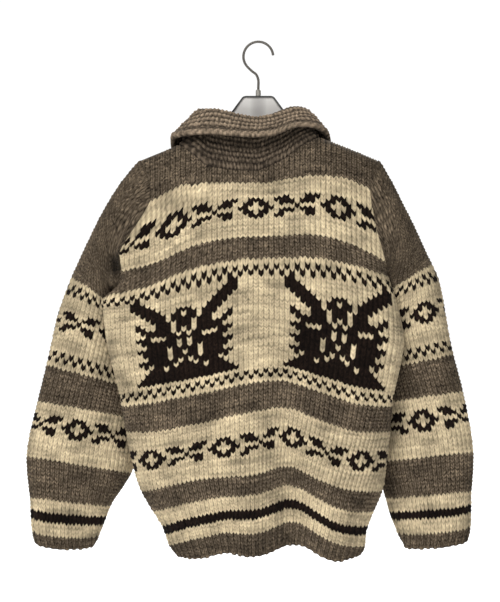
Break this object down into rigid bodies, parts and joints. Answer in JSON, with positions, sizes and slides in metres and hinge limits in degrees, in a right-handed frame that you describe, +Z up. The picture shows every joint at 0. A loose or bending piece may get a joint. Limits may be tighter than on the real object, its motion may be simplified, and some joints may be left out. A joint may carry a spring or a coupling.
{
  "type": "hand-knitted zip cardigan with a shawl collar on a plastic hanger",
  "caption": "Bulky hand-knitted wool cardigan with a shawl collar and a closed front zip, hanging on a plastic hanger with a wire hook.",
  "frame": {"origin": "top of the hook's inner side, where the hook bears on a rail, in the middle of the hanger's thickness", "axes": "+Z up, +Y out of the cardigan's back, +X towards the wearer's left sleeve"},
  "size_m": [0.7311, 0.1949, 0.8397],
  "materials": {
    "wool": "bulky two-ply homespun wool in heather brown, cream and near-black, stocking stitch",
    "collar_wool": "bulky homespun wool in heather brown, garter stitch",
    "zip_tape": "woven cotton tape",
    "zip_metal": "dull",
    "hanger_plastic": "smoke grey, smooth",
    "hanger_steel": "polished wire"
  },
  "bodies": {
    "cardigan": {"back": "wool", "front_left": "wool", "front_right": "wool", "sleeve_left": "wool", "sleeve_right": "wool", "collar": "collar_wool", "zip_tape_left": "zip_tape", "zip_tape_right": "zip_tape", "zip_teeth": "zip_metal", "zip_slider": "zip_metal", "zip_box": "zip_metal", "hanger_body": "hanger_plastic", "hanger_ferrule": "hanger_steel", "hanger_hook": "hanger_steel"},
    "pull_tab": {"zip_pull_tab": "zip_metal"}
  },
  "joints": [
    {"name": "pull_tab_swing", "type": "hinge", "parent": "cardigan", "child": "pull_tab", "pos_m": [0, -0.04482, -0.33785], "axis": [-1, 0, 0], "range_deg": [0, 120]}
  ]
}
